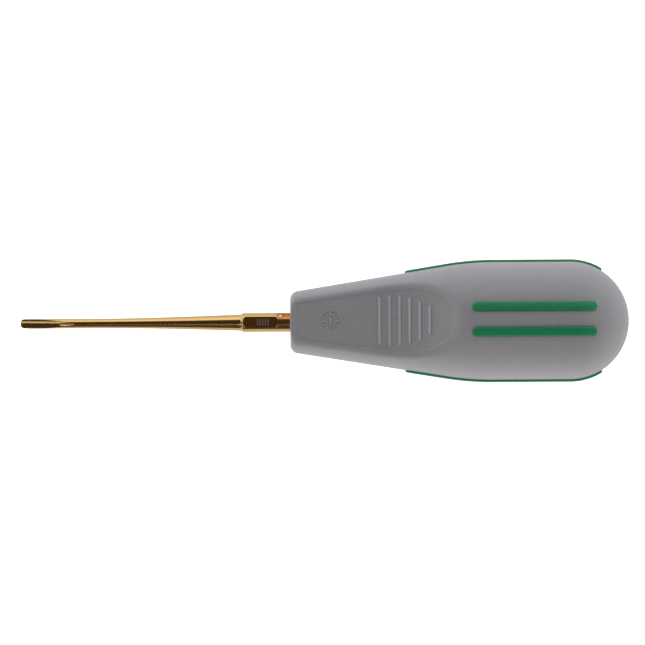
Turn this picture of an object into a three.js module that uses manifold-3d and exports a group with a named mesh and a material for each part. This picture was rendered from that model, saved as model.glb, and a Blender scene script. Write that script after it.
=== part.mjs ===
// Luxating dental elevator with a straight, narrow blade.
// Units are millimetres. X runs along the instrument from the tip (-X) to the butt (+X), +Z is up, and the
// origin lies under the middle of the instrument, on the surface that its lower strips stand on.
import * as THREE from "three";
import { mergeVertices } from "three/addons/utils/BufferGeometryUtils.js";
import Module from "manifold-3d";

const wasm = await Module();
wasm.setup();

// Whole instrument
const overallLength = 145;
const tipX = -overallLength / 2;
const buttX = overallLength / 2;
const gap = 0.3;
const reach = 40;

// Blade
const tipWidth = 2.26;
const shankWidth = 2.27;
const shankRootWidth = 3.9;
const tipCorner = 0.8;
const tipCornerLength = 1.2;
const shankRootX = -20.15;
const bladeRoll = 8;
const hollowRadius = 2.6;
const hollowTipFloor = -0.57;
const hollowSlope = 0.152;
const cutterClearance = 3;
const cutterSides = 48;
const backTaperLength = 7;
const tipEdgeThickness = 0.12;
const spigotRadius = 0.95;
const spigotEndX = -9.2;

// Collar shaft
const collarFrontX = -19.8;
const collarRadius = 2.28;
const collarCorner = 0.4;
const markingFlatStartX = -19.4;
const markingFlatLength = 8.1;
const markingFlatWidth = 2.64;
const markingFlatCorner = 0.65;
const markingFlatHeight = 1.86;
const tangEndX = 38;
const tangGrooveRadius = 1.75;
const tangGrooveWidth = 3;
const tangGroovePitch = 7;
const tangGrooveStarts = [4, 4 + tangGroovePitch, 4 + 2 * tangGroovePitch];
const tangGrooveFlank = 0.75;
const tangFlatStartX = 26;
const tangFlatHeight = 1.8;
const tangCutWidth = 8;
const tangCutHeight = 4;

// Handle grip
const gripFrontX = -8.25;
const gripFrontRadius = 7.17;
const gripFrontCorner = 1.7;
const coneSlope = 0.162;
const barrelRadius = 14.09;
const barrelBlend = 3;
const domeCentreX = buttX - barrelRadius;
const coneEndX = gripFrontX + (barrelRadius - gripFrontRadius) / coneSlope;

// Finger facets
const facetFrontHeight = 5.32;
const facetSlope = 0.075;
const facetStraightEndX = 14.5;
const facetArcRadius = 34.3;
const facetAngle = Math.atan(facetSlope);

// Green strips
const stripWidth = 2.2;
const stripProud = 0.55;
const stripDepth = 1.1;
const stripOffset = 3.03;
const shortStripX = [35.0, 64.75];
const longStripX = [19.1, 66];

// Handle core
const coreFrontX = -2;
const coreHubRadius = 3.6;
const coreRadius = 6.8;
const coreWideX = 33;
const coreEndX = 60;
const coreFinThickness = 1.6;
const coreFinAngles = [0, 60, 120];
const coreDiscPitch = 9;
const coreOverlap = 1;

// The lower strips' inner edges are the lowest points, so the axis lies this high above the surface.
const axisHeight = Math.sqrt((barrelRadius + stripProud) ** 2 - (stripOffset - stripWidth / 2) ** 2);

// Smoothness: sides of a turned body, and steps of a curve in its outline
const gripSegments = 40;
const thinSegments = 24;
const gripSteps = 5;
const thinSteps = 3;

const goldSteel = new THREE.MeshStandardMaterial({ color: 0xc99b52, metalness: 1, roughness: 0.28 });
const greyPolymer = new THREE.MeshStandardMaterial({ color: 0x76757a, metalness: 0, roughness: 0.55 });
const darkPolymer = new THREE.MeshStandardMaterial({ color: 0x3a3b3e, metalness: 0, roughness: 0.6 });
const greenElastomer = new THREE.MeshStandardMaterial({ color: 0x1e7049, metalness: 0, roughness: 0.6 });

function solidOf(geometry) {
  const bare = new THREE.BufferGeometry();
  bare.setAttribute("position", geometry.getAttribute("position"));
  bare.setIndex(geometry.getIndex());
  const merged = mergeVertices(bare, 1e-4);
  const vertProperties = merged.getAttribute("position").array;
  const triVerts = new Uint32Array(merged.getIndex().array);
  return new wasm.Manifold(new wasm.Mesh({ numProp: 3, vertProperties, triVerts }));
}

function geometryOf(solid) {
  const mesh = solid.getMesh();
  const geometry = new THREE.BufferGeometry();
  geometry.setAttribute("position", new THREE.BufferAttribute(mesh.vertProperties, 3));
  geometry.setIndex(new THREE.BufferAttribute(mesh.triVerts, 1));
  geometry.computeVertexNormals();
  return geometry;
}

// A body of revolution about the X axis. The outline's points are (radius, x), with x growing.
function turned(outline, segments, steps) {
  const geometry = new THREE.LatheGeometry(outline.getPoints(steps), segments);
  geometry.rotateZ(-Math.PI / 2);
  return solidOf(geometry);
}

// A prism that stands on the XY plane.
function prism(shape, height) {
  const options = { depth: height, bevelEnabled: false, curveSegments: thinSteps };
  return solidOf(new THREE.ExtrudeGeometry(shape, options));
}

function roundedSlot(startX, endX, width, corner) {
  const half = width / 2;
  const shape = new THREE.Shape();
  shape.absarc(endX - corner, half - corner, corner, 0, Math.PI / 2);
  shape.absarc(startX + corner, half - corner, corner, Math.PI / 2, Math.PI);
  shape.absarc(startX + corner, corner - half, corner, Math.PI, 1.5 * Math.PI);
  shape.absarc(endX - corner, corner - half, corner, 1.5 * Math.PI, 2 * Math.PI);
  return shape;
}

function block(startX, endX, width, bottomZ, topZ) {
  const geometry = new THREE.BoxGeometry(endX - startX, width, topZ - bottomZ);
  geometry.translate((startX + endX) / 2, 0, (bottomZ + topZ) / 2);
  return solidOf(geometry);
}

// ---- Blade -----------------------------------------------------------------------------------------------

// The shank is even behind the tip and thickens towards the collar.
function bladeBlank() {
  const tipRadius = tipWidth / 2;
  const even = shankWidth / 2;
  const root = shankRootWidth / 2;
  const outline = new THREE.Path();
  outline.moveTo(0, tipX);
  outline.lineTo(tipRadius, tipX);
  outline.splineThru([
    new THREE.Vector2(tipRadius, tipX + 3),
    new THREE.Vector2(even, tipX + 20),
    new THREE.Vector2(even * 1.21, tipX + 34),
    new THREE.Vector2(root * 0.92, tipX + 48),
    new THREE.Vector2(root, shankRootX),
  ]);
  outline.lineTo(spigotRadius, shankRootX);
  outline.lineTo(spigotRadius, spigotEndX);
  outline.lineTo(0, spigotEndX);
  return turned(outline, thinSegments, thinSteps);
}

// The blade as seen square to its face: round-cornered at the tip and wider than the blank behind it.
function planOutline() {
  const half = tipWidth / 2;
  const outline = new THREE.Shape();
  outline.moveTo(tipX, tipCorner - half);
  outline.lineTo(tipX, half - tipCorner);
  outline.quadraticCurveTo(tipX, half, tipX + tipCornerLength, half);
  outline.lineTo(spigotEndX + cutterClearance, shankRootWidth);
  outline.lineTo(spigotEndX + cutterClearance, -shankRootWidth);
  outline.lineTo(tipX + tipCornerLength, -half);
  outline.quadraticCurveTo(tipX, -half, tipX, tipCorner - half);
  const height = 2 * shankRootWidth;
  return prism(outline, height).translate([0, 0, -height / 2]).rotate([bladeRoll, 0, 0]);
}

// The long round cutter that hollows the blade's face. It rises evenly and runs out on top of the shank.
function hollowCutter() {
  const length = (shankWidth / 2 - hollowTipFloor) / hollowSlope + 2 * cutterClearance;
  const geometry = new THREE.CylinderGeometry(hollowRadius, hollowRadius, length, cutterSides);
  geometry.rotateZ(-Math.PI / 2);
  geometry.translate(length / 2 - cutterClearance, 0, hollowRadius);
  geometry.rotateY(-Math.atan(hollowSlope));
  geometry.translate(tipX, 0, hollowTipFloor);
  return solidOf(geometry).rotate([bladeRoll, 0, 0]);
}

// The wedge ground off the blade's back, which brings the tip to an edge.
function backTaper() {
  const edgeHeight = hollowTipFloor - tipEdgeThickness;
  const outline = new THREE.Shape();
  outline.moveTo(tipX - 1, edgeHeight);
  outline.lineTo(tipX, edgeHeight);
  outline.lineTo(tipX + backTaperLength, -tipWidth / 2);
  outline.lineTo(tipX + backTaperLength, -tipWidth);
  outline.lineTo(tipX - 1, -tipWidth);
  return sideways(outline, 2 * tipWidth).rotate([bladeRoll, 0, 0]);
}

function blade() {
  return bladeBlank().intersect(planOutline()).subtract(hollowCutter()).subtract(backTaper());
}

// ---- Collar shaft ----------------------------------------------------------------------------------------

// The shaft's outer outline behind the front corner, grown outwards for the hollows that hold it.
function tangOutline(outline, grow) {
  const radius = collarRadius + grow;
  for (const start of tangGrooveStarts) {
    const end = start + tangGrooveWidth;
    outline.lineTo(radius, start + grow);
    outline.lineTo(tangGrooveRadius + grow, start + tangGrooveFlank + grow / 2);
    outline.lineTo(tangGrooveRadius + grow, end - tangGrooveFlank - grow / 2);
    outline.lineTo(radius, end - grow);
  }
  outline.lineTo(radius, tangEndX + grow);
  outline.lineTo(0, tangEndX + grow);
}

// What is cut away above and below the tang's rear end, so that it can't turn.
function tangFlats(solid, grow) {
  const startX = tangFlatStartX + grow;
  const height = tangFlatHeight + grow;
  const upper = block(startX, tangEndX + 1, tangCutWidth, height, tangCutHeight);
  const lower = block(startX, tangEndX + 1, tangCutWidth, -tangCutHeight, -height);
  return solid.subtract(upper).subtract(lower);
}

function collarShaft() {
  const boreRadius = spigotRadius + gap;
  const outline = new THREE.Path();
  outline.moveTo(0, spigotEndX + gap);
  outline.lineTo(boreRadius, spigotEndX + gap);
  outline.lineTo(boreRadius, collarFrontX);
  outline.lineTo(collarRadius - collarCorner, collarFrontX);
  outline.quadraticCurveTo(collarRadius, collarFrontX, collarRadius, collarFrontX + collarCorner);
  tangOutline(outline, 0);
  const flat = roundedSlot(
    markingFlatStartX,
    markingFlatStartX + markingFlatLength,
    markingFlatWidth,
    markingFlatCorner,
  );
  const flatCut = prism(flat, collarRadius).translate([0, 0, markingFlatHeight]);
  return tangFlats(turned(outline, thinSegments, thinSteps).subtract(flatCut), 0);
}

// The room that the shaft takes in the core and the grip.
function shaftHollow() {
  const outline = new THREE.Path();
  outline.moveTo(0, gripFrontX - cutterClearance);
  outline.lineTo(collarRadius + gap, gripFrontX - cutterClearance);
  tangOutline(outline, gap);
  return tangFlats(turned(outline, thinSegments, thinSteps), gap);
}

// ---- Handle core -----------------------------------------------------------------------------------------

// The core's envelope: a neck under the finger facets, a wide part in the barrel, and a round end.
function coreEnvelope(grow) {
  const outline = new THREE.Path();
  outline.moveTo(0, coreFrontX - grow);
  outline.lineTo(coreHubRadius + grow, coreFrontX - grow);
  outline.lineTo(coreHubRadius + grow, facetStraightEndX);
  const flareX = (facetStraightEndX + coreWideX) / 2;
  outline.quadraticCurveTo(coreHubRadius + grow, flareX, coreRadius + grow, coreWideX);
  outline.absarc(0, coreEndX - coreRadius, coreRadius + grow, 0, Math.PI / 2);
  return turned(outline, thinSegments, thinSteps);
}

// A hub, three ribs through the axis and a row of discs, which together fill the envelope's outline.
function coreSkeleton() {
  const hubLength = coreEndX - coreFrontX + 2 * coreOverlap;
  const hub = new THREE.CylinderGeometry(coreHubRadius, coreHubRadius, hubLength, thinSegments);
  hub.rotateZ(-Math.PI / 2);
  hub.translate((coreFrontX + coreEndX) / 2, 0, 0);
  let skeleton = solidOf(hub);
  const ribHeight = coreRadius + coreOverlap;
  for (const angle of coreFinAngles) {
    const rib = block(facetStraightEndX, coreEndX + coreOverlap, coreFinThickness, -ribHeight, ribHeight);
    skeleton = skeleton.add(rib.rotate([angle, 0, 0]));
  }
  for (let x = coreWideX; x <= coreEndX; x += coreDiscPitch) {
    const disc = new THREE.CylinderGeometry(ribHeight, ribHeight, coreFinThickness, thinSegments);
    disc.rotateZ(-Math.PI / 2);
    disc.translate(x, 0, 0);
    skeleton = skeleton.add(solidOf(disc));
  }
  return skeleton;
}

function handleCore() {
  return coreEnvelope(0).intersect(coreSkeleton()).subtract(shaftHollow());
}

// ---- Handle grip -----------------------------------------------------------------------------------------

// Cone, barrel and dome of the grip. A positive grow gives the surface that much further out.
function gripEnvelope(grow) {
  const front = gripFrontX - grow;
  const frontRadius = gripFrontRadius + grow;
  const barrel = barrelRadius + grow;
  const blendStart = coneEndX - barrelBlend;
  const outline = new THREE.Path();
  outline.moveTo(0, front);
  outline.lineTo(frontRadius - gripFrontCorner, front);
  const cornerRadius = frontRadius + gripFrontCorner * coneSlope;
  outline.quadraticCurveTo(frontRadius, front, cornerRadius, front + gripFrontCorner);
  outline.lineTo(barrel - barrelBlend * coneSlope, blendStart);
  outline.quadraticCurveTo(barrel, coneEndX, barrel, coneEndX + barrelBlend);
  outline.absarc(0, domeCentreX, barrel, 0, Math.PI / 2);
  return turned(outline, gripSegments, gripSteps);
}

// An outline in the XZ plane, pushed through the instrument along Y.
function sideways(outline, width) {
  const options = { depth: width, bevelEnabled: false, curveSegments: gripSteps };
  const geometry = new THREE.ExtrudeGeometry(outline, options);
  geometry.translate(0, 0, -width / 2);
  geometry.rotateX(Math.PI / 2);
  return solidOf(geometry);
}

function facetHeight(x) {
  return facetFrontHeight + facetSlope * (x - gripFrontX);
}

// What is cut away above a finger facet: a plain slope that turns up into a hollow behind.
function facetCut() {
  const startX = gripFrontX - cutterClearance;
  const turnHeight = facetHeight(facetStraightEndX);
  const arcCentreX = facetStraightEndX - facetArcRadius * Math.sin(facetAngle);
  const arcCentreZ = turnHeight + facetArcRadius * Math.cos(facetAngle);
  const arcStart = facetAngle - Math.PI / 2;
  const outline = new THREE.Shape();
  outline.moveTo(startX, facetHeight(startX));
  outline.lineTo(facetStraightEndX, turnHeight);
  outline.absarc(arcCentreX, arcCentreZ, facetArcRadius, arcStart, -Math.PI / 4);
  outline.lineTo(startX, reach);
  return sideways(outline, reach);
}

// A straight bar over the strip's outline, shifted sideways and then turned about the instrument's axis.
function stripPrism(strip, grow) {
  const [startX, endX] = strip.span;
  const width = stripWidth + 2 * grow;
  const slot = roundedSlot(startX - grow, endX + grow, width, width / 2);
  return prism(slot, reach).translate([0, strip.shift, 0]).rotate([strip.angle, 0, 0]);
}

// Left and right are those of a hand that points the tip away from itself: left is -Y.
const strips = [
  { name: "top_strip_left", span: shortStripX, shift: -stripOffset, angle: 0 },
  { name: "top_strip_right", span: shortStripX, shift: stripOffset, angle: 0 },
  { name: "bottom_strip_left", span: shortStripX, shift: stripOffset, angle: 180 },
  { name: "bottom_strip_right", span: shortStripX, shift: -stripOffset, angle: 180 },
  { name: "side_strip_left", span: longStripX, shift: 0, angle: 90 },
  { name: "side_strip_right", span: longStripX, shift: 0, angle: -90 },
];

function stripSolid(strip) {
  const bar = stripPrism(strip, 0);
  return bar.intersect(gripEnvelope(stripProud)).subtract(gripEnvelope(-stripDepth));
}

function handleGrip() {
  const facet = facetCut();
  let grip = gripEnvelope(0).subtract(facet).subtract(facet.mirror([0, 0, 1]));
  grip = grip.subtract(coreEnvelope(gap)).subtract(shaftHollow());
  const pocketFloor = gripEnvelope(-stripDepth - gap);
  for (const strip of strips) {
    grip = grip.subtract(stripPrism(strip, gap).subtract(pocketFloor));
  }
  return grip;
}

// ---- Assembly --------------------------------------------------------------------------------------------

function meshOf(name, solid, material) {
  const mesh = new THREE.Mesh(geometryOf(solid), material);
  mesh.name = name;
  return mesh;
}

const elevator = new THREE.Group();
elevator.position.z = axisHeight;
elevator.add(meshOf("blade", blade(), goldSteel));
elevator.add(meshOf("collar_shaft", collarShaft(), goldSteel));
elevator.add(meshOf("handle_core", handleCore(), darkPolymer));
elevator.add(meshOf("handle_grip", handleGrip(), greyPolymer));
for (const strip of strips) {
  elevator.add(meshOf(strip.name, stripSolid(strip), greenElastomer));
}

export default elevator;
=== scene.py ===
"""Looks of a luxating dental elevator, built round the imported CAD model.

Shapes are worked out in millimetres in the instrument's own frame: x from the tip towards the butt, z up
from the instrument's long axis. add_mesh() turns them into metres in the CAD frame.
"""

import math

import bpy
import numpy as np
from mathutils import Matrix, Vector


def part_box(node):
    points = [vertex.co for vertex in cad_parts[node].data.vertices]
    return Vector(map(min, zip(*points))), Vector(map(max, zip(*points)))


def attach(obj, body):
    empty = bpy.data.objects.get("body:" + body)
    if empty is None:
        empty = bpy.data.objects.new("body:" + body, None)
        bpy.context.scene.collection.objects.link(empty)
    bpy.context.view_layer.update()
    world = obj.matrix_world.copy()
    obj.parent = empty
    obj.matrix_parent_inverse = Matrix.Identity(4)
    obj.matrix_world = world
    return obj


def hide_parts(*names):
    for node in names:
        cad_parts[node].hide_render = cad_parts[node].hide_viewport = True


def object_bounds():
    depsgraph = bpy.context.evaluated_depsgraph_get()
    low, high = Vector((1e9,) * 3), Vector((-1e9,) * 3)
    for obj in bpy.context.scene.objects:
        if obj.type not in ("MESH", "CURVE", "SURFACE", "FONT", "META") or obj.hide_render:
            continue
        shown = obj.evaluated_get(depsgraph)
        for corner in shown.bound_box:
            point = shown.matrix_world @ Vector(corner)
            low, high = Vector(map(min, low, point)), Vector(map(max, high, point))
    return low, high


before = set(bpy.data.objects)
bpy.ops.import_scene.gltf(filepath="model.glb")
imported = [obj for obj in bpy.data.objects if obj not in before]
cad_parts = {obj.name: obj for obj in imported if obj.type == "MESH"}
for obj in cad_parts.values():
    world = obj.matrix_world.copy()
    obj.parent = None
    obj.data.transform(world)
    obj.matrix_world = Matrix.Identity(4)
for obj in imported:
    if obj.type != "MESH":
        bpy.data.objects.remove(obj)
CAD_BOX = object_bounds()

MM = 0.001


def box_mm(node):
    low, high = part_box(node)
    return np.array(low) / MM, np.array(high) / MM


# ---- Sizes, read off the CAD boxes or repeated from the CAD source -----------------------------------------

BLADE_LOW, BLADE_HIGH = box_mm("blade")
COLLAR_LOW, COLLAR_HIGH = box_mm("collar_shaft")
GRIP_LOW, GRIP_HIGH = box_mm("handle_grip")
SHORT_STRIP_LOW, SHORT_STRIP_HIGH = box_mm("top_strip_left")
LONG_STRIP_LOW, LONG_STRIP_HIGH = box_mm("side_strip_left")

BARREL_R = (GRIP_HIGH[2] - GRIP_LOW[2]) / 2
AXIS_Z = (GRIP_HIGH[2] + GRIP_LOW[2]) / 2
TIP_X = BLADE_LOW[0]
BUTT_X = GRIP_HIGH[0]
GRIP_X = GRIP_LOW[0]
COLLAR_X = COLLAR_LOW[0]
DOME_X = BUTT_X - BARREL_R

BLADE_ROLL = math.radians(8)

GRIP_FRONT_R = 7.17
GRIP_CORNER = 1.7
CONE_SLOPE = 0.162
BARREL_SOFTNESS = 0.9
FACET_FRONT_Z = 5.32
FACET_SLOPE = 0.075
FACET_TURN_X = 14.5
FACET_ARC_R = 34.3
FACET_CORNER = 0.45
FACET_SOFTNESS = 0.8
FACET_SPREAD = math.radians(53.5)
FACET_POINTS = 113
FLANK_POINTS = 28
RING_STEP = 0.17
PANEL_DEPTH = 0.18
PANEL_FRONT = 1.65
PANEL_INSET = 0.75
PANEL_INSET_GROWTH = 0.028
DIAL_X = 1.3
DIAL_R = 2.25
DIAL_DEPTH = 0.2
DIAL_RELIEF = 0.26
DIAL_TICKS = 12
TICK_LENGTH = 0.62
TICK_WIDTH = 0.34
TICK_EDGE = 0.13
POINTER_EDGE = 0.09
MARK_RELIEF = 0.38
MARK_EDGE = 0.26
MARK_ROOT = 0.3
RIB_X = np.linspace(13, 25, 6)
RIB_LENGTHS = (11.5, 12.0, 12.0, 11.0, 9.5, 7.0)
RIB_WIDTH = 0.7
# How much lighter the raised marks' grey is: a painted highlight, not a real difference in the plastic.
MARK_PAINTED_HIGHLIGHT = 24
STEP_WIDTH = 0.12

STRIP_WIDTH = 2.2
STRIP_PROUD = -LONG_STRIP_LOW[1] - BARREL_R
STRIP_DEPTH = 1.0
STRIP_EDGE = 0.42
STRIP_CROWN = 0.08
STRIP_CAP_STEPS = 16
POCKET_GAP = 0.04
POCKET_CUTTER_PROUD = 0.9
STRIP_OFFSET = (SHORT_STRIP_LOW[1] + SHORT_STRIP_HIGH[1]) / 2

COLLAR_R = (COLLAR_HIGH[1] - COLLAR_LOW[1]) / 2
SHANK_ROOT_R = (BLADE_HIGH[1] - BLADE_LOW[1]) / 2
COLLAR_CORNER = 0.38
FLAT_X = (-19.4, -11.3)
FLAT_WIDTH = 2.64
FLAT_CORNER = 0.65
FLAT_Z = 1.86
ETCH_X = (-16.3, -13.2)
ETCH_RULES = 5
ETCH_HALF_WIDTH = 0.8
WELD_X = -10.6
WELD_ANGLE = math.radians(42)
WELD_SPOT_R = 0.36
COLLAR_TOP_ANGLE = 1.15
TANG_GROOVES = (4, 11, 18)
TANG_GROOVE_WIDTH = 3
TANG_GROOVE_FLANK = 0.75
TANG_GROOVE_R = 1.75
TANG_END_CORNER = 0.4
SPIGOT_BORE_R = 1.0
SPIGOT_R = 0.95

BORE_R = COLLAR_R + 0.07
CORE_FRONT_X = -2.3
CORE_HUB_R = 3.9
CORE_WIDE_X = 33.0
CORE_R = 7.1
CORE_END_X = 60.3
FACET_END_X = CORE_WIDE_X + 3


# ---- Meshes ------------------------------------------------------------------------------------------------

def add_mesh(name, points, faces, material, sharp_degrees=40):
    """A smooth-shaded object from points in millimetres, turned over as a whole if its volume is negative."""
    placed = (np.asarray(points, float) + (0, 0, AXIS_Z)) * MM
    mesh = bpy.data.meshes.new(name)
    mesh.from_pydata(placed.tolist(), [], faces)
    mesh.update()
    if signed_volume(placed, faces) < 0:
        mesh.flip_normals()
    mesh.shade_smooth()
    mesh.set_sharp_from_angle(angle=math.radians(sharp_degrees))
    mesh.materials.append(material)
    piece = bpy.data.objects.new(name, mesh)
    bpy.context.scene.collection.objects.link(piece)
    return piece


def signed_volume(points, faces):
    total = 0.0
    for size in {len(face) for face in faces}:
        corners = points[np.array([face for face in faces if len(face) == size])]
        for k in range(1, size - 1):
            total += np.einsum("ij,ij->i", corners[:, 0], np.cross(corners[:, k], corners[:, k + 1])).sum()
    return total


def skin(rings, first, last):
    """Points and faces of a closed body: rings of equal length, joined up, with a pole at either end."""
    rings = np.asarray(rings, float)
    count, around, _ = rings.shape
    points = np.vstack([rings.reshape(-1, 3), [first, last]])
    pole_a, pole_b = len(points) - 2, len(points) - 1
    columns = np.arange(around)
    following = (columns + 1) % around
    rows = np.arange(count - 1)[:, None] * around
    next_rows = rows + around
    quads = np.stack([rows + columns, rows + following, next_rows + following, next_rows + columns], axis=-1)
    faces = quads.reshape(-1, 4).tolist()
    end = (count - 1) * around
    faces += [[pole_a, int(b), int(a)] for a, b in zip(columns, following)]
    faces += [[pole_b, int(end + a), int(end + b)] for a, b in zip(columns, following)]
    return points, faces


def keep(piece, slot, *nodes):
    """Hangs the piece on the rigid instrument and hides the CAD nodes that it replaces; slot, meant for its
    finish, is not used.
    """
    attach(piece, "root")
    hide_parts(*nodes)
    return piece


def soft_min(a, b, width):
    """The lower of two heights, blended where they differ by less than width."""
    overlap = np.maximum(width - np.abs(a - b), 0) / width
    return np.minimum(a, b) - overlap * overlap * width / 4


def smooth_step(value, width):
    """0 to 1 as value goes from -width / 2 to width / 2."""
    t = np.clip(value / width + 0.5, 0, 1)
    return t * t * (3 - 2 * t)


def arc_drop(distance, radius):
    """How far a rounded corner of that radius has dropped, at that distance from the end face."""
    inside = np.clip(radius - distance, 0, radius)
    return radius - np.sqrt(radius * radius - inside * inside)


# ---- Handle grip -------------------------------------------------------------------------------------------

def side_radius(x):
    """Radius of the grip's turned form, without facets, up to where the dome starts."""
    cone = GRIP_FRONT_R + CONE_SLOPE * (x - GRIP_X)
    return soft_min(cone, BARREL_R, BARREL_SOFTNESS) - arc_drop(x - GRIP_X, GRIP_CORNER)


def facet_height(x):
    """Height of the finger facet above the instrument's axis."""
    angle = math.atan(FACET_SLOPE)
    turn_z = FACET_FRONT_Z + FACET_SLOPE * (FACET_TURN_X - GRIP_X)
    centre_x = FACET_TURN_X - FACET_ARC_R * math.sin(angle)
    centre_z = turn_z + FACET_ARC_R * math.cos(angle)
    straight = FACET_FRONT_Z + FACET_SLOPE * (x - GRIP_X)
    offset = np.clip(x - centre_x, 0, 0.8 * FACET_ARC_R)
    hollow = centre_z - np.sqrt(FACET_ARC_R ** 2 - offset ** 2)
    return np.where(x < FACET_TURN_X, straight, hollow)


def panel_mask(x, y, radius):
    """1 inside the sunk panel that follows the facet's outline, 0 outside."""
    height = facet_height(x)
    round_z = np.sqrt(np.maximum(radius ** 2 - y ** 2, 1e-6))
    step = 0.01
    slope = (facet_height(x + step) - height) / step
    across = np.hypot(CONE_SLOPE * radius / round_z - slope, y / round_z)
    to_edge = (round_z - height) / across
    inset = PANEL_INSET + PANEL_INSET_GROWTH * (x - GRIP_X - PANEL_FRONT)
    inside = np.minimum(to_edge - inset, x - GRIP_X - PANEL_FRONT)
    return smooth_step(inside, STEP_WIDTH) * (x < FACET_TURN_X + 0.6 * FACET_ARC_R)


def facet_surface(x, y, radius):
    """Height of the grip's upper skin at (x, y), with facet, panel and dial."""
    round_z = np.sqrt(np.maximum(radius ** 2 - y ** 2, 0))
    height = facet_height(x) - arc_drop(x - GRIP_X, FACET_CORNER)
    dial = smooth_step(DIAL_R - np.hypot(x - DIAL_X, y), STEP_WIDTH) * DIAL_DEPTH
    sunk = PANEL_DEPTH * panel_mask(x, y, radius)
    return soft_min(round_z, height, FACET_SOFTNESS) - sunk, dial


def grip_ring(x, radius):
    """One closed ring of the grip's skin: upper strip, one flank, lower strip, other flank."""
    reach = radius * math.sin(FACET_SPREAD)
    y = np.linspace(-reach, reach, FACET_POINTS)
    flank = np.linspace(FACET_SPREAD, math.pi - FACET_SPREAD, FLANK_POINTS)[1:-1]
    if x > FACET_END_X:
        top = np.sqrt(radius ** 2 - y ** 2)
        dial = np.zeros_like(y)
    else:
        top, dial = facet_surface(x, y, radius)
    upper = np.stack([np.full_like(y, x), y, top - dial], axis=1)
    lower = np.stack([np.full_like(y, x), -y, -top], axis=1)
    right = np.stack([np.full_like(flank, x), radius * np.sin(flank), radius * np.cos(flank)], axis=1)
    left = np.stack([np.full_like(flank, x), -radius * np.sin(flank), -radius * np.cos(flank)], axis=1)
    return np.vstack([upper, right, lower, left])


def round_ring(x, radius, like):
    """A plain ring with its points at the same angles as those of another ring."""
    angle = np.arctan2(like[:, 1], like[:, 2])
    return np.stack([np.full_like(angle, x), radius * np.sin(angle), radius * np.cos(angle)], axis=1)


def grip_rings():
    corner = GRIP_X + GRIP_CORNER * (1 - np.cos(np.linspace(0, math.pi / 2, 15)))
    faceted = np.arange(GRIP_X + GRIP_CORNER + RING_STEP, FACET_END_X - 0.5, RING_STEP)
    barrel = np.linspace(FACET_END_X + 0.1, DOME_X, 40)
    outside = [grip_ring(x, float(side_radius(x))) for x in [*corner, *faceted, *barrel]]
    for turn in np.linspace(0, math.pi / 2, 40)[1:-1]:
        outside.append(grip_ring(DOME_X + BARREL_R * math.sin(turn), BARREL_R * math.cos(turn)))
    rim = outside[0]
    inside = [round_ring(CORE_END_X - CORE_R + CORE_R * math.sin(t), CORE_R * math.cos(t), rim)
              for t in np.linspace(1.4, 0, 7)]
    for x, radius in [(CORE_WIDE_X, CORE_R), (28, 6.2), (23, 5.1), (18, 4.3), (FACET_TURN_X, CORE_HUB_R),
                      (CORE_FRONT_X, CORE_HUB_R), (CORE_FRONT_X, BORE_R), (GRIP_X + 0.15, BORE_R),
                      (GRIP_X + 0.04, BORE_R + 0.04), (GRIP_X, BORE_R + 0.15)]:
        inside.append(round_ring(x, radius, rim))
    mouth = inside[-1]
    for share in (0.25, 0.5, 0.75):
        inside.append(mouth + (rim - mouth) * share)
    return inside + outside


def make_grip(material):
    rings = grip_rings()
    points, faces = skin(rings, (CORE_END_X, 0, 0), (BUTT_X, 0, 0))
    grip = add_mesh("grip_moulding", points, faces, material)
    cut_pockets(grip)
    return keep(grip, "grey_polymer", "handle_grip")


# ---- Raised marks on the facet -----------------------------------------------------------------------------

def round_edge(edge, height):
    """Steps (inset, height) up a quarter-round edge, from the floor to the flat top."""
    return [(edge * (1 - math.cos(turn)), height * math.sin(turn)) for turn in np.linspace(0, math.pi / 2, 7)]


def raised_mark(outline, level, height, edge):
    """A low pad with a rounded edge. Its outline is in (x, y), and level is the depth of its floor."""
    outline = np.asarray(outline, float)
    ahead, behind = np.roll(outline, -1, axis=0), np.roll(outline, 1, axis=0)
    along = (ahead - outline) / np.linalg.norm(ahead - outline, axis=1, keepdims=True)
    back = (outline - behind) / np.linalg.norm(outline - behind, axis=1, keepdims=True)
    inwards = np.column_stack([-(along + back)[:, 1], (along + back)[:, 0]])
    inwards /= 1 + (along * back).sum(1, keepdims=True)

    def lift(inset, up):
        flat = outline + inwards * inset
        return np.column_stack([flat, facet_height(flat[:, 0]) - level + up])

    rings = [lift(0, -MARK_ROOT)] + [lift(inset, up) for inset, up in round_edge(edge, height)]
    points = np.vstack(rings)
    n, last = len(outline), len(rings) - 1
    faces = [[row * n + k, row * n + (k + 1) % n, (row + 1) * n + (k + 1) % n, (row + 1) * n + k]
             for row in range(last) for k in range(n)]
    faces += [list(range(n - 1, -1, -1)), list(range(last * n, (last + 1) * n))]
    return points, faces


def bar(centre, length, width, angle=0.0, corner_steps=6):
    """Outline of a round-ended bar."""
    half, radius = length / 2 - width / 2, width / 2
    turn = np.linspace(-math.pi / 2, math.pi / 2, corner_steps + 1)
    right = np.column_stack([half + radius * np.cos(turn), radius * np.sin(turn)])
    shape = np.vstack([right, -right])
    c, s = math.cos(angle), math.sin(angle)
    return shape @ np.array([[c, s], [-s, c]]) + centre


def joined(parts):
    points, faces, offset = [], [], 0
    for part_points, part_faces in parts:
        points.append(part_points)
        faces += [[index + offset for index in face] for face in part_faces]
        offset += len(part_points)
    return np.vstack(points), faces


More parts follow.
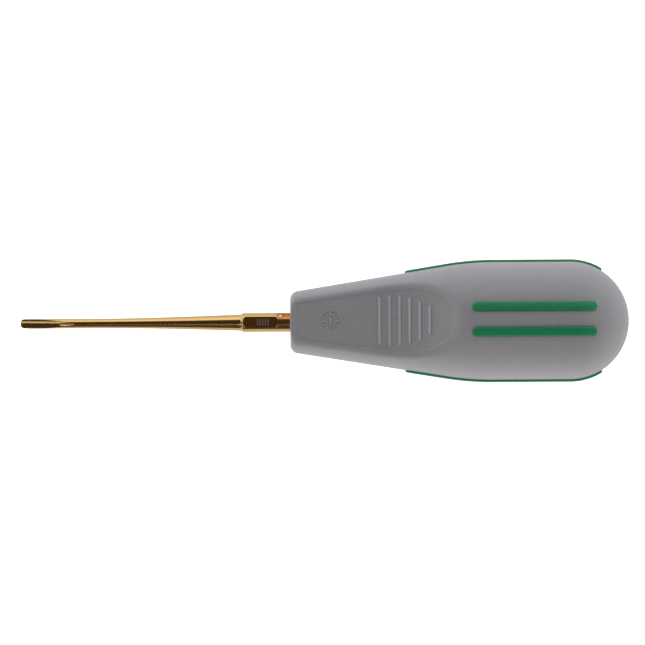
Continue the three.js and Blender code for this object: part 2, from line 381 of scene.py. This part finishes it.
def dial_marks():
    """Plain ticks round a dial, with a pointer in the middle."""
    floor = PANEL_DEPTH + DIAL_DEPTH
    reach = DIAL_R - 0.5
    parts = []
    for tick in range(DIAL_TICKS):
        angle = math.tau * tick / DIAL_TICKS
        centre = (DIAL_X + reach * math.cos(angle), reach * math.sin(angle))
        outline = bar(centre, TICK_LENGTH, TICK_WIDTH, angle)
        parts.append(raised_mark(outline, floor, DIAL_RELIEF, TICK_EDGE))
    shaft, head, tail, neck, point = 0.15, 0.45, -0.95, 0.25, 0.95
    pointer = [(-shaft, tail), (shaft, tail), (shaft, neck), (head, neck), (0, point), (-head, neck),
               (-shaft, neck)]
    outline = [(DIAL_X + x, y) for x, y in pointer]
    parts.append(raised_mark(outline, floor, DIAL_RELIEF, POINTER_EDGE))
    return parts


def make_marks(material):
    """The dial, and plain cross ribs for the thumb that shorten towards the facet's round end."""
    parts = dial_marks()
    for place, length in zip(RIB_X, RIB_LENGTHS):
        rib = bar((place, 0), length, RIB_WIDTH, math.pi / 2)
        parts.append(raised_mark(rib, PANEL_DEPTH, MARK_RELIEF, MARK_EDGE))
    points, faces = joined(parts)
    piece = add_mesh("facet_marks", points, faces, material, 25)
    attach(piece, "root")
    return piece


# ---- Green strips ------------------------------------------------------------------------------------------

def grip_path():
    """Points (x, r) down the grip's turned form from front to butt, close enough for lengths to add up."""
    along = np.linspace(GRIP_X + GRIP_CORNER, DOME_X, 700)
    turn = np.linspace(0, math.pi / 2, 300)[1:]
    x = np.concatenate([along, DOME_X + BARREL_R * np.sin(turn)])
    r = np.concatenate([side_radius(along), BARREL_R * np.cos(turn)])
    travel = np.concatenate([[0], np.cumsum(np.hypot(np.diff(x), np.diff(r)))])
    return x, r, travel


def strip_loop(half_length, half_width, inward):
    """A stadium outline in (along, across), drawn in from its edge."""
    radius = max(half_width - inward, 0)
    turn = np.linspace(-math.pi / 2, math.pi / 2, STRIP_CAP_STEPS + 1)
    cap = np.column_stack([half_length - half_width + radius * np.cos(turn), radius * np.sin(turn)])
    straight = np.linspace(1, -1, 90)[1:-1, None] * np.array([half_length - half_width, 0])
    side = straight + np.array([0, radius])
    return np.vstack([cap, side, -cap, -side])


def strip_body(span, angle, shift, proud, depth, grow=0.0):
    """Points and faces of one strip laid along the grip, or of its pocket where grow is more than 0."""
    path_x, path_r, travel = grip_path()
    begin, finish = np.interp(span, path_x, travel)
    middle, half = (begin + finish) / 2, (finish - begin) / 2 + grow
    half_width = STRIP_WIDTH / 2 + grow

    def place(inward, height):
        loop = strip_loop(half, half_width, inward)
        s = middle + loop[:, 0]
        x, r = np.interp(s, travel, path_x), np.interp(s, travel, path_r)
        dx = np.interp(s + 0.3, travel, path_x) - np.interp(s - 0.3, travel, path_x)
        dr = np.interp(s + 0.3, travel, path_r) - np.interp(s - 0.3, travel, path_r)
        size = np.hypot(dx, dr)
        out_x, out_r = x - height * dr / size, r + height * dx / size
        across = loop[:, 1] + shift
        up = np.sqrt(np.maximum(out_r ** 2 - across ** 2, 0))
        y = across * math.cos(angle) + up * math.sin(angle)
        z = up * math.cos(angle) - across * math.sin(angle)
        return np.column_stack([out_x, y, z])

    rings = [place(inward, -depth) for inward in (half_width * 0.98, 0.5, 0)]
    rings += [place(0, height) for height in (-0.5, -0.1, 0.0)]
    for turn in np.linspace(0.15, math.pi / 2, 9):
        rings.append(place(STRIP_EDGE * (1 - math.cos(turn)), proud * (1 - STRIP_CROWN) * math.sin(turn)))
    for inward in (0.6, 0.8, half_width * 0.98):
        share = (inward - STRIP_EDGE) / (half_width - STRIP_EDGE)
        rings.append(place(inward, proud * (1 - STRIP_CROWN + STRIP_CROWN * share)))
    rings = np.array(rings)
    count, around, _ = rings.shape
    faces = [[row * around + k, row * around + (k + 1) % around, (row + 1) * around + (k + 1) % around,
              (row + 1) * around + k] for row in range(count - 1) for k in range(around)]
    # Known fault: both of these narrow caps are wound inwards, against the rest of the strip.
    faces += ladder(0, around, False) + ladder((count - 1) * around, around, True)
    return rings.reshape(-1, 3), faces


def ladder(start, around, turned):
    """Closes a long narrow loop with quads from side to side."""
    half = around // 2
    middle = STRIP_CAP_STEPS // 2
    order = [start + (middle + k) % around for k in range(half + 1)]
    mirror = [start + (middle - k) % around for k in range(half + 1)]
    faces = []
    for k in range(half):
        face = list(dict.fromkeys([order[k], order[k + 1], mirror[k + 1], mirror[k]]))
        faces.append(face[::-1] if turned else face)
    return faces


def strip_layout():
    """For each strip: its stretch along x, its angle from straight up towards +Y, and its sideways shift."""
    short = (SHORT_STRIP_LOW[0], SHORT_STRIP_HIGH[0])
    long = (LONG_STRIP_LOW[0], LONG_STRIP_HIGH[0])
    return {
        "top_strip_left": (short, 0, STRIP_OFFSET),
        "top_strip_right": (short, 0, -STRIP_OFFSET),
        "bottom_strip_left": (short, math.pi, -STRIP_OFFSET),
        "bottom_strip_right": (short, math.pi, STRIP_OFFSET),
        "side_strip_left": (long, -math.pi / 2, 0),
        "side_strip_right": (long, math.pi / 2, 0),
    }


def make_strips(material):
    for node, (span, angle, shift) in strip_layout().items():
        points, faces = strip_body(span, angle, shift, STRIP_PROUD, STRIP_DEPTH)
        keep(add_mesh(node + "_inlay", points, faces, material, 60), "green_elastomer", node)


def cut_pockets(grip):
    """Cuts the six strips' pockets out of the grip, a little wider than the strips themselves."""
    cutters = []
    for node, (span, angle, shift) in strip_layout().items():
        depth = STRIP_DEPTH + POCKET_GAP
        points, faces = strip_body(span, angle, shift, POCKET_CUTTER_PROUD, depth, POCKET_GAP)
        cutter = add_mesh(node + "_pocket", points, faces, grip.data.materials[0])
        cut = grip.modifiers.new(cutter.name, "BOOLEAN")
        cut.operation = "DIFFERENCE"
        cut.solver = "EXACT"
        cut.object = cutter
        cutters.append(cutter)
    bpy.context.view_layer.update()
    shaped = grip.evaluated_get(bpy.context.evaluated_depsgraph_get())
    mesh = bpy.data.meshes.new_from_object(shaped)
    grip.modifiers.clear()
    grip.data = mesh
    mesh.set_sharp_from_angle(angle=math.radians(40))
    for cutter in cutters:
        bpy.data.objects.remove(cutter)


# ---- Collar shaft ------------------------------------------------------------------------------------------

def slot_distance(x, y):
    """Distance inside the marking flat's round-cornered outline, negative outside."""
    mid = (FLAT_X[0] + FLAT_X[1]) / 2
    half_x, half_y = (FLAT_X[1] - FLAT_X[0]) / 2 - FLAT_CORNER, FLAT_WIDTH / 2 - FLAT_CORNER
    over_x, over_y = np.abs(x - mid) - half_x, np.abs(y) - half_y
    outside = np.hypot(np.maximum(over_x, 0), np.maximum(over_y, 0))
    return FLAT_CORNER - outside - np.minimum(np.maximum(over_x, over_y), 0)


def collar_ring(x, radius):
    fine = np.linspace(-COLLAR_TOP_ANGLE, COLLAR_TOP_ANGLE, 97)
    rest = np.linspace(COLLAR_TOP_ANGLE, math.tau - COLLAR_TOP_ANGLE, 50)[1:-1]
    angle = np.concatenate([fine, rest])
    y, z = radius * np.sin(angle), radius * np.cos(angle)
    cut = smooth_step(slot_distance(np.full_like(y, x), y), 0.05) * (z > 0)
    z = np.where(z > FLAT_Z, z + (FLAT_Z - z) * cut, z)
    from_weld = np.hypot(x - WELD_X, radius * (angle - WELD_ANGLE) * 1.3)
    weld_rim = 0.035 * np.exp(-((from_weld - WELD_SPOT_R) / 0.13) ** 2)
    weld_dimple = 0.05 * np.exp(-(from_weld / 0.2) ** 2)
    bump = weld_rim - weld_dimple
    scale = 1 + bump / np.maximum(np.hypot(y, z), 0.1)
    return np.column_stack([np.full_like(y, x), y * scale, z * scale])


def make_collar(material):
    bore_end = BLADE_HIGH[0] + 0.3
    rows = [(bore_end, SPIGOT_BORE_R), (COLLAR_X + 0.05, SPIGOT_BORE_R), (COLLAR_X, SPIGOT_BORE_R + 0.05)]
    rows += [(COLLAR_X, COLLAR_R - COLLAR_CORNER)]
    for turn in np.linspace(0.12, math.pi / 2, 10):
        rows.append((COLLAR_X + COLLAR_CORNER * (1 - math.cos(turn)),
                     COLLAR_R - COLLAR_CORNER * (1 - math.sin(turn))))
    rows += [(x, COLLAR_R) for x in np.arange(COLLAR_X + COLLAR_CORNER + 0.08, GRIP_X + 0.4, 0.08)]
    for groove in TANG_GROOVES:
        end = groove + TANG_GROOVE_WIDTH
        rows += [(groove, COLLAR_R), (groove + TANG_GROOVE_FLANK, TANG_GROOVE_R)]
        rows += [(end - TANG_GROOVE_FLANK, TANG_GROOVE_R), (end, COLLAR_R)]
    rows += [(COLLAR_HIGH[0] - TANG_END_CORNER, COLLAR_R), (COLLAR_HIGH[0], COLLAR_R - TANG_END_CORNER)]
    rings = [collar_ring(float(x), r) for x, r in rows]
    points, faces = skin(rings, (bore_end, 0, 0), (COLLAR_HIGH[0], 0, 0))
    return keep(add_mesh("collar_sleeve", points, faces, material, 35), "gold_coated_steel", "collar_shaft")


# ---- Blade -------------------------------------------------------------------------------------------------

TIP_HALF_WIDTH = 1.13
TIP_CORNER = 0.8
TIP_CORNER_LENGTH = 1.2
TIP_THINNESS = 0.2
BACK_TAPER_LENGTH = 7.0
HOLLOW_R = 2.6
HOLLOW_TIP_Z = -0.57
HOLLOW_SLOPE = 0.152
NICK_X = (-63.2, -59.4)
NICK_DEPTH = 0.42
NICK_WIDTH = 0.9
TIP_STEP = 0.07
SHANK_STEP = 0.4
FINE_END_X = -58

# The swelling of the joint in front of the collar: (distance before it, how far it stands proud)
JOINT_SWELLING = [(0.5, 0), (0.35, 0.01), (0.23, 0.03), (0.13, 0.07), (0.07, 0.11), (0, 0.13)]


def through(x, stations):
    """A smooth curve through a few (x, value) stations."""
    at, value = np.array(stations, float).T
    slope = np.gradient(value, at)
    k = int(np.clip(np.searchsorted(at, x) - 1, 0, len(at) - 2))
    width = at[k + 1] - at[k]
    t = float(np.clip((x - at[k]) / width, 0, 1))
    rising, falling = t * t * (3 - 2 * t), 1 - t * t * (3 - 2 * t)
    bend = slope[k] * t * (1 - t) ** 2 - slope[k + 1] * t * t * (1 - t)
    return falling * value[k] + rising * value[k + 1] + width * bend


def shank_radius(x):
    """Radius of the blade blank: even behind the tip, then thickening towards the collar."""
    return through(x, [(TIP_X, 1.1), (TIP_X + 2, 1.13), (TIP_X + 20, 1.14), (TIP_X + 34, 1.37),
                       (TIP_X + 48, 1.79), (COLLAR_X, SHANK_ROOT_R)])


def hollow_height(x, y):
    """Height of the hollow-ground face, which rises evenly from the tip and runs out on top of the shank."""
    floor = HOLLOW_TIP_Z + HOLLOW_SLOPE * (x - TIP_X)
    return floor + HOLLOW_R - np.sqrt(HOLLOW_R ** 2 - y ** 2)


def rim_angle(x, radius):
    """Angle from straight up at which the hollow's rim meets the round blank, or 0 where it misses it."""
    centre = HOLLOW_TIP_Z + HOLLOW_SLOPE * (x - TIP_X) + HOLLOW_R
    height = (radius ** 2 - HOLLOW_R ** 2 + centre ** 2) / (2 * centre)
    return math.acos(min(max(height / radius, -1), 1))


def nose_half_width(x):
    """Half the blade's width at the rounded tip corners, as seen square to its face."""
    turn = math.sqrt(min(max((x - TIP_X) / TIP_CORNER_LENGTH, 0), 1))
    return TIP_HALF_WIDTH - TIP_CORNER * (1 - turn) ** 2


def nick_depth(x, y):
    """Depth of the narrow groove that the grinding wheel leaves past the hollow's point."""
    share = (x - NICK_X[0]) / (NICK_X[1] - NICK_X[0])
    if not 0 < share < 1:
        return np.zeros_like(y)
    half = NICK_WIDTH / 2 * (1 - share ** 2)
    depth = NICK_DEPTH * (1 - share)
    return depth * np.clip(1 - (y / half) ** 2, 0, 1)


def blade_ring(x, radius):
    """One section: the hollow face or the round top, then the back, which thins to an edge at the tip."""
    side = max(rim_angle(x, radius), 0.5)
    widest = radius * math.sin(side) if side > math.pi / 2 else radius
    narrow = min(nose_half_width(x) / widest, 1) if x < TIP_X + TIP_CORNER_LENGTH else 1

    def top(y):
        round_z = np.sqrt(np.maximum(radius ** 2 - y ** 2, 0))
        return soft_min(round_z - nick_depth(x, y), hollow_height(x, y), 0.03)

    face_y = narrow * radius * math.sin(side) * np.linspace(-1, 1, 73)
    back = np.linspace(side, math.tau - side, 61)[1:-1]
    back_y = narrow * radius * np.sin(back)
    round_back = np.sign(np.cos(back)) * np.sqrt(np.maximum(radius ** 2 - back_y ** 2, 0))
    share = TIP_THINNESS + (1 - TIP_THINNESS) * min((x - TIP_X) / BACK_TAPER_LENGTH, 1)
    back_z = top(back_y) + share * (round_back - top(back_y))
    y, z = np.concatenate([face_y, back_y]), np.concatenate([top(face_y), back_z])
    c, s = math.cos(BLADE_ROLL), math.sin(BLADE_ROLL)
    return np.column_stack([np.full_like(y, x), y * c - z * s, y * s + z * c])


def make_blade(material):
    nose = TIP_X + TIP_CORNER_LENGTH * np.linspace(0, 1, 15) ** 2
    fine = np.arange(TIP_X + TIP_CORNER_LENGTH + TIP_STEP, FINE_END_X, TIP_STEP)
    shank = np.arange(FINE_END_X + SHANK_STEP, COLLAR_X - 0.7, SHANK_STEP)
    rows = [(x, shank_radius(x)) for x in [*nose, *fine, *shank]]
    joint = COLLAR_X - 0.05
    rows += [(joint - before, SHANK_ROOT_R + proud) for before, proud in JOINT_SWELLING]
    rows += [(joint, SPIGOT_R), (BLADE_HIGH[0] - 0.1, SPIGOT_R), (BLADE_HIGH[0], SPIGOT_R - 0.1)]
    rings = [blade_ring(float(x), r) for x, r in rows]
    first = rings[0].mean(0)
    points, faces = skin(rings, first, (BLADE_HIGH[0], 0, 0))
    return keep(add_mesh("blade_and_shank", points, faces, material, 35), "gold_coated_steel", "blade")


# ---- Materials ---------------------------------------------------------------------------------------------

class Graph:
    """A node tree with short calls for the nodes that the materials share."""

    def __init__(self, tree):
        self.tree = tree
        tree.nodes.clear()

    def node(self, kind, inputs=None, **settings):
        made = self.tree.nodes.new(kind)
        for name, value in settings.items():
            setattr(made, name, value)
        for name, value in (inputs or {}).items():
            self.feed(made.inputs[name], value)
        return made

    def feed(self, socket, value):
        if isinstance(value, bpy.types.NodeSocket):
            self.tree.links.new(value, socket)
        else:
            socket.default_value = value

    def math(self, operation, a, b=0.0, c=0.0):
        return self.node("ShaderNodeMath", {0: a, 1: b, 2: c}, operation=operation).outputs[0]

    def smooth(self, value, low, high):
        """0 below low to 1 above high, or the other way round where high is the lower."""
        flip = high < low
        inputs = {
            "Value": value,
            "From Min": min(low, high),
            "From Max": max(low, high),
            "To Min": 1.0 if flip else 0.0,
            "To Max": 0.0 if flip else 1.0,
        }
        return self.node("ShaderNodeMapRange", inputs, interpolation_type="SMOOTHSTEP").outputs[0]

    def place(self, scale=(1.0, 1.0, 1.0)):
        """Object coordinates in millimetres, times scale."""
        where = self.node("ShaderNodeTexCoord").outputs["Object"]
        inputs = {0: where, 1: [s / MM for s in scale]}
        return self.node("ShaderNodeVectorMath", inputs, operation="MULTIPLY").outputs[0]

    def noise(self, vector, scale, detail=2.0):
        inputs = {"Vector": vector, "Scale": scale, "Detail": detail}
        return self.node("ShaderNodeTexNoise", inputs).outputs["Fac"]

    def mix(self, share, a, b):
        made = self.node("ShaderNodeMix", data_type="RGBA")
        self.feed(made.inputs[0], share)
        self.feed(made.inputs[6], a)
        self.feed(made.inputs[7], b)
        return made.outputs[2]

    def bump(self, height, strength, depth):
        inputs = {"Height": height, "Strength": strength, "Distance": depth}
        return self.node("ShaderNodeBump", inputs).outputs[0]


def linear(red, green, blue):
    """An sRGB colour, 0 to 255, as linear RGBA."""
    def one(value):
        share = value / 255
        return share / 12.92 if share < 0.04045 else ((share + 0.055) / 1.055) ** 2.4
    return (one(red), one(green), one(blue), 1.0)


def surface(name, colour, roughness, normal, metallic=None, **fixed):
    """A Principled material; fixed holds the inputs that are the same all over."""
    material = bpy.data.materials.new(name)
    material.use_nodes = True
    graph = Graph(material.node_tree)
    shader = graph.node("ShaderNodeBsdfPrincipled", fixed)
    graph.feed(shader.inputs["Base Color"], colour(graph))
    graph.feed(shader.inputs["Roughness"], roughness(graph))
    graph.feed(shader.inputs["Normal"], normal(graph))
    if metallic:
        graph.feed(shader.inputs["Metallic"], metallic(graph))
    graph.node("ShaderNodeOutputMaterial", {"Surface": shader.outputs[0]})
    return material


def grey_polymer(name, lift):
    """The moulded grey; lift makes it lighter, a painted highlight that stands in for the light which the
    raised marks' slopes catch.
    """
    def colour(g):
        cloud = g.noise(g.place(), 0.35, 3.0)
        darker = linear(160 + lift, 157 + lift, 162 + lift)
        lighter = linear(166 + lift, 163 + lift, 168 + lift)
        return g.mix(cloud, darker, lighter)

    def roughness(g):
        return g.math("MULTIPLY_ADD", g.noise(g.place(), 6.0), 0.16, 0.36)

    def normal(g):
        return g.bump(g.noise(g.place(), 9.0, 3.0), 0.35, 0.00004)

    return surface(name, colour, roughness, normal, **{"IOR": 1.5})


def core_polymer():
    def colour(g):
        return g.mix(g.noise(g.place(), 0.5), linear(58, 59, 62), linear(66, 67, 70))

    def roughness(g):
        return g.math("MULTIPLY_ADD", g.noise(g.place(), 3.0), 0.2, 0.4)

    def normal(g):
        return g.bump(g.noise(g.place(), 5.0), 0.3, 0.00005)

    return surface("dark_core_polymer", colour, roughness, normal)


def green_elastomer():
    def colour(g):
        cloud = g.noise(g.place(), 0.8, 3.0)
        return g.mix(cloud, linear(3, 136, 83), linear(12, 146, 93))

    def roughness(g):
        return g.math("MULTIPLY_ADD", g.noise(g.place(), 5.0), 0.2, 0.42)

    def normal(g):
        return g.bump(g.noise(g.place(), 7.0, 3.0), 0.4, 0.00005)

    fixed = {
        "IOR": 1.48,
        "Sheen Weight": 0.7,
        "Sheen Roughness": 0.3,
        "Sheen Tint": (0.8, 1.0, 0.92, 1.0),
    }
    return surface("green_elastomer", colour, roughness, normal, **fixed)


def etched_rules(g):
    """1 on five plain etched rules across the marking flat, 0 elsewhere."""
    x, y, z = g.node("ShaderNodeSeparateXYZ", {0: g.place()}).outputs
    along = g.math("SUBTRACT", x, ETCH_X[0])
    phase = g.math("FRACT", g.math("DIVIDE", along, (ETCH_X[1] - ETCH_X[0]) / ETCH_RULES))
    rule = g.math("MULTIPLY", g.smooth(phase, 0.15, 0.25), g.smooth(phase, 0.75, 0.65))
    ends = g.math("MULTIPLY", g.math("GREATER_THAN", along, 0), g.math("LESS_THAN", x, ETCH_X[1]))
    sides = g.smooth(g.math("ABSOLUTE", y), ETCH_HALF_WIDTH, ETCH_HALF_WIDTH - 0.05)
    on_flat = g.math("MULTIPLY", sides, g.math("GREATER_THAN", z, AXIS_Z + FLAT_Z - 0.05))
    return g.math("MULTIPLY", g.math("MULTIPLY", rule, ends), on_flat)


def from_weld(g):
    """Distance in millimetres from the middle of the spot weld."""
    centre = (WELD_X, COLLAR_R * math.sin(WELD_ANGLE), AXIS_Z + COLLAR_R * math.cos(WELD_ANGLE))
    return g.node("ShaderNodeVectorMath", {0: g.place(), 1: centre}, operation="DISTANCE").outputs["Value"]


def gold_steel():
    def colour(g):
        x, y, _ = g.node("ShaderNodeSeparateXYZ", {0: g.place()}).outputs
        cloud = g.noise(g.place((0.3, 1, 1)), 0.9, 3.0)
        gold = g.mix(cloud, linear(228, 190, 124), linear(234, 198, 133))
        behind = g.math("MULTIPLY", g.smooth(x, WELD_X - 1.3, WELD_X - 0.2), g.smooth(x, GRIP_X + 1, GRIP_X))
        heat = g.math("MULTIPLY", behind, g.smooth(y, 0.3, 1.3))
        tinted = g.mix(heat, gold, linear(200, 120, 44))
        halo = g.math("MULTIPLY", g.smooth(from_weld(g), 1.1, 0.5), 0.7)
        scorched = g.mix(halo, tinted, linear(150, 92, 78))
        spot = g.smooth(from_weld(g), WELD_SPOT_R + 0.1, WELD_SPOT_R)
        welded = g.mix(spot, scorched, linear(214, 204, 180))
        return g.mix(etched_rules(g), welded, linear(96, 90, 84))

    def roughness(g):
        rings = g.noise(g.place((6, 0.4, 0.4)), 1.0, 3.0)
        polished = g.math("MULTIPLY_ADD", rings, 0.12, 0.12)
        return g.math("MULTIPLY_ADD", etched_rules(g), 0.4, polished)

    def normal(g):
        return g.bump(g.noise(g.place((9, 0.3, 0.3)), 1.0, 3.0), 0.25, 0.00002)

    def metallic(g):
        return g.math("SUBTRACT", 1.0, etched_rules(g))

    return surface("gold_nitride_steel", colour, roughness, normal, metallic)


# ---- Studio ------------------------------------------------------------------------------------------------

FLOOR_GLOW = 1.5
FLOOR_MIRRORED = 0.68
DIFFUSE_SKY = 0.1
FAR_PANEL = 1.25
NEAR_PANEL = 1.12
END_PANEL = 0.38
FAR_TINT = (0.955, 0.995, 1.0, 1.0)
NEAR_TINT = (1.0, 0.985, 0.96, 1.0)
FAR_EDGES = ((0.80, 0.74), (0.0, 0.3))
NEAR_EDGES = ((0.71, 0.61), (0.0, 0.1))
END_EDGES = ((0.3, 0.15), (0.0, 0.05))
MIRRORED_WALL_EDGES = ((0.80, 0.70), (-0.02, 0.0))
MIRRORED_END_EDGES = ((0.62, 0.54), (-0.02, 0.0))
MIRRORED_DARK = (0.044, 0.030, 0.020, 1.0)
MIRRORED_WALL = 1.1
MIRRORED_HORIZON = 0.85
MIRRORED_END = 0.45
LAMP_BUTT_END = 0.045
LAMP_TIP_END = 0.9
VIEW_WIDTH = 153.77
VIEW_DISTANCE = 4.0
VIEW_TILT = math.radians(1.95)
VIEW_TURN = math.radians(-0.36)
VIEW_AIM = (-0.56, -0.1)


def make_floor():
    mesh = bpy.data.meshes.new("floor")
    side = 12.0
    corners = [(-side, -side, 0), (side, -side, 0), (side, side, 0), (-side, side, 0)]
    mesh.from_pydata(corners, [], [(0, 1, 2, 3)])
    floor = bpy.data.objects.new("floor", mesh)
    floor.location.z = CAD_BOX[0].z - 0.0005
    bpy.context.scene.collection.objects.link(floor)
    material = bpy.data.materials.new("pale_table")
    material.use_nodes = True
    g = Graph(material.node_tree)
    mirrored = g.node("ShaderNodeLightPath").outputs["Is Glossy Ray"]
    strength = g.math("MULTIPLY_ADD", mirrored, FLOOR_MIRRORED - FLOOR_GLOW, FLOOR_GLOW)
    glow = g.node("ShaderNodeEmission", {"Color": (1, 1, 1, 1), "Strength": strength})
    g.node("ShaderNodeOutputMaterial", {"Surface": glow.outputs[0]})
    mesh.materials.append(material)


def make_sky():
    """A light tent, dark overhead. What glossy rays mirror is set apart from the soft light."""
    world = bpy.data.worlds.new("light_tent")
    bpy.context.scene.world = world
    world.use_nodes = True
    g = Graph(world.node_tree)
    ray = g.node("ShaderNodeSeparateXYZ", {0: g.node("ShaderNodeTexCoord").outputs["Generated"]})
    x, y, z = ray.outputs
    flat = g.math("SQRT", g.math("ADD", g.math("MULTIPLY", x, x), g.math("MULTIPLY", y, y)))
    flat = g.math("MAXIMUM", flat, 0.001)
    north = g.math("DIVIDE", y, flat)
    aside = g.math("DIVIDE", g.math("ABSOLUTE", x), flat)

    def panel(strength, sector, top, bottom):
        band = g.math("MULTIPLY", g.smooth(z, *top), g.smooth(z, *bottom))
        return g.math("MULTIPLY", g.math("MULTIPLY", sector, band), strength)

    far_sector = g.smooth(north, 0.5, 0.62)
    near_sector = g.smooth(north, -0.4, -0.5)
    end_sector = g.math("MULTIPLY", g.smooth(north, 0.6, 0.5), g.smooth(north, -0.5, -0.4))
    far = panel(FAR_PANEL, far_sector, *FAR_EDGES)
    near = panel(NEAR_PANEL, near_sector, *NEAR_EDGES)
    ends = panel(END_PANEL, end_sector, *END_EDGES)
    soft = g.math("ADD", g.math("MAXIMUM", far, g.math("MAXIMUM", near, ends)), DIFFUSE_SKY)
    tint = g.mix(g.smooth(north, -0.5, 0.5), NEAR_TINT, FAR_TINT)
    soft_light = g.node("ShaderNodeBackground", {"Color": tint, "Strength": soft})

    rise = g.smooth(z, 0.05, 0.45)
    wall = g.math("MULTIPLY_ADD", rise, MIRRORED_WALL - MIRRORED_HORIZON, MIRRORED_HORIZON)
    wall = g.math("MULTIPLY", wall, panel(1.0, g.smooth(north, -0.1, 0.3), *MIRRORED_WALL_EDGES))
    end_wall = panel(MIRRORED_END, g.smooth(aside, 0.72, 0.9), *MIRRORED_END_EDGES)
    lean = g.math("DIVIDE", g.math("MULTIPLY", y, -1.0), g.math("MAXIMUM", z, 0.05))
    strip_lamp = g.math("MULTIPLY", g.smooth(lean, 0.42, 0.5), g.smooth(lean, 0.85, 0.76))
    lamp_power = g.math("MULTIPLY_ADD", g.smooth(x, -0.06, -0.2), LAMP_TIP_END, LAMP_BUTT_END)
    lamp = g.math("MULTIPLY", strip_lamp, lamp_power)
    mirrored = g.math("MAXIMUM", g.math("MAXIMUM", wall, end_wall), lamp)
    bright = g.node("ShaderNodeBackground", {"Color": (1, 1, 1, 1), "Strength": mirrored})
    dark = g.node("ShaderNodeBackground", {"Color": MIRRORED_DARK, "Strength": 1.0})
    mirrored_light = g.node("ShaderNodeAddShader", {0: bright.outputs[0], 1: dark.outputs[0]})

    plain = g.node("ShaderNodeBackground", {"Color": (1, 1, 1, 1), "Strength": FLOOR_GLOW})
    path = g.node("ShaderNodeLightPath")
    unseen = g.node("ShaderNodeMixShader", {0: path.outputs["Is Glossy Ray"], 1: soft_light.outputs[0],
                                            2: mirrored_light.outputs[0]})
    shown = g.node("ShaderNodeMixShader", {0: path.outputs["Is Camera Ray"], 1: unseen.outputs[0],
                                           2: plain.outputs[0]})
    g.node("ShaderNodeOutputWorld", {"Surface": shown.outputs[0]})


def make_camera():
    """Looks almost straight down from far off, with the instrument across the picture."""
    data = bpy.data.cameras.new("camera")
    data.sensor_width = 36
    data.lens = data.sensor_width * VIEW_DISTANCE / (VIEW_WIDTH * MM)
    data.clip_end = 20
    camera = bpy.data.objects.new("camera", data)
    bpy.context.scene.collection.objects.link(camera)
    aim = Vector((VIEW_AIM[0], VIEW_AIM[1], AXIS_Z)) * MM
    camera.rotation_mode = "XYZ"
    camera.rotation_euler = (VIEW_TILT, 0, VIEW_TURN)
    camera.location = aim + camera.rotation_euler.to_matrix() @ Vector((0, 0, VIEW_DISTANCE))
    bpy.context.scene.camera = camera


def main():
    grey = grey_polymer("grey_satin_polymer", 0)
    gold = gold_steel()
    green = green_elastomer()
    dark = core_polymer()
    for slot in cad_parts["handle_core"].material_slots:
        slot.material = dark
    make_grip(grey)
    # The raised marks get a lighter copy of the grey: a painted highlight.
    make_marks(grey_polymer("grey_marks_painted_highlight", MARK_PAINTED_HIGHLIGHT))
    make_strips(green)
    make_collar(gold)
    make_blade(gold)
    make_floor()
    make_sky()
    make_camera()
    bpy.context.scene.view_settings.view_transform = "Standard"


main()
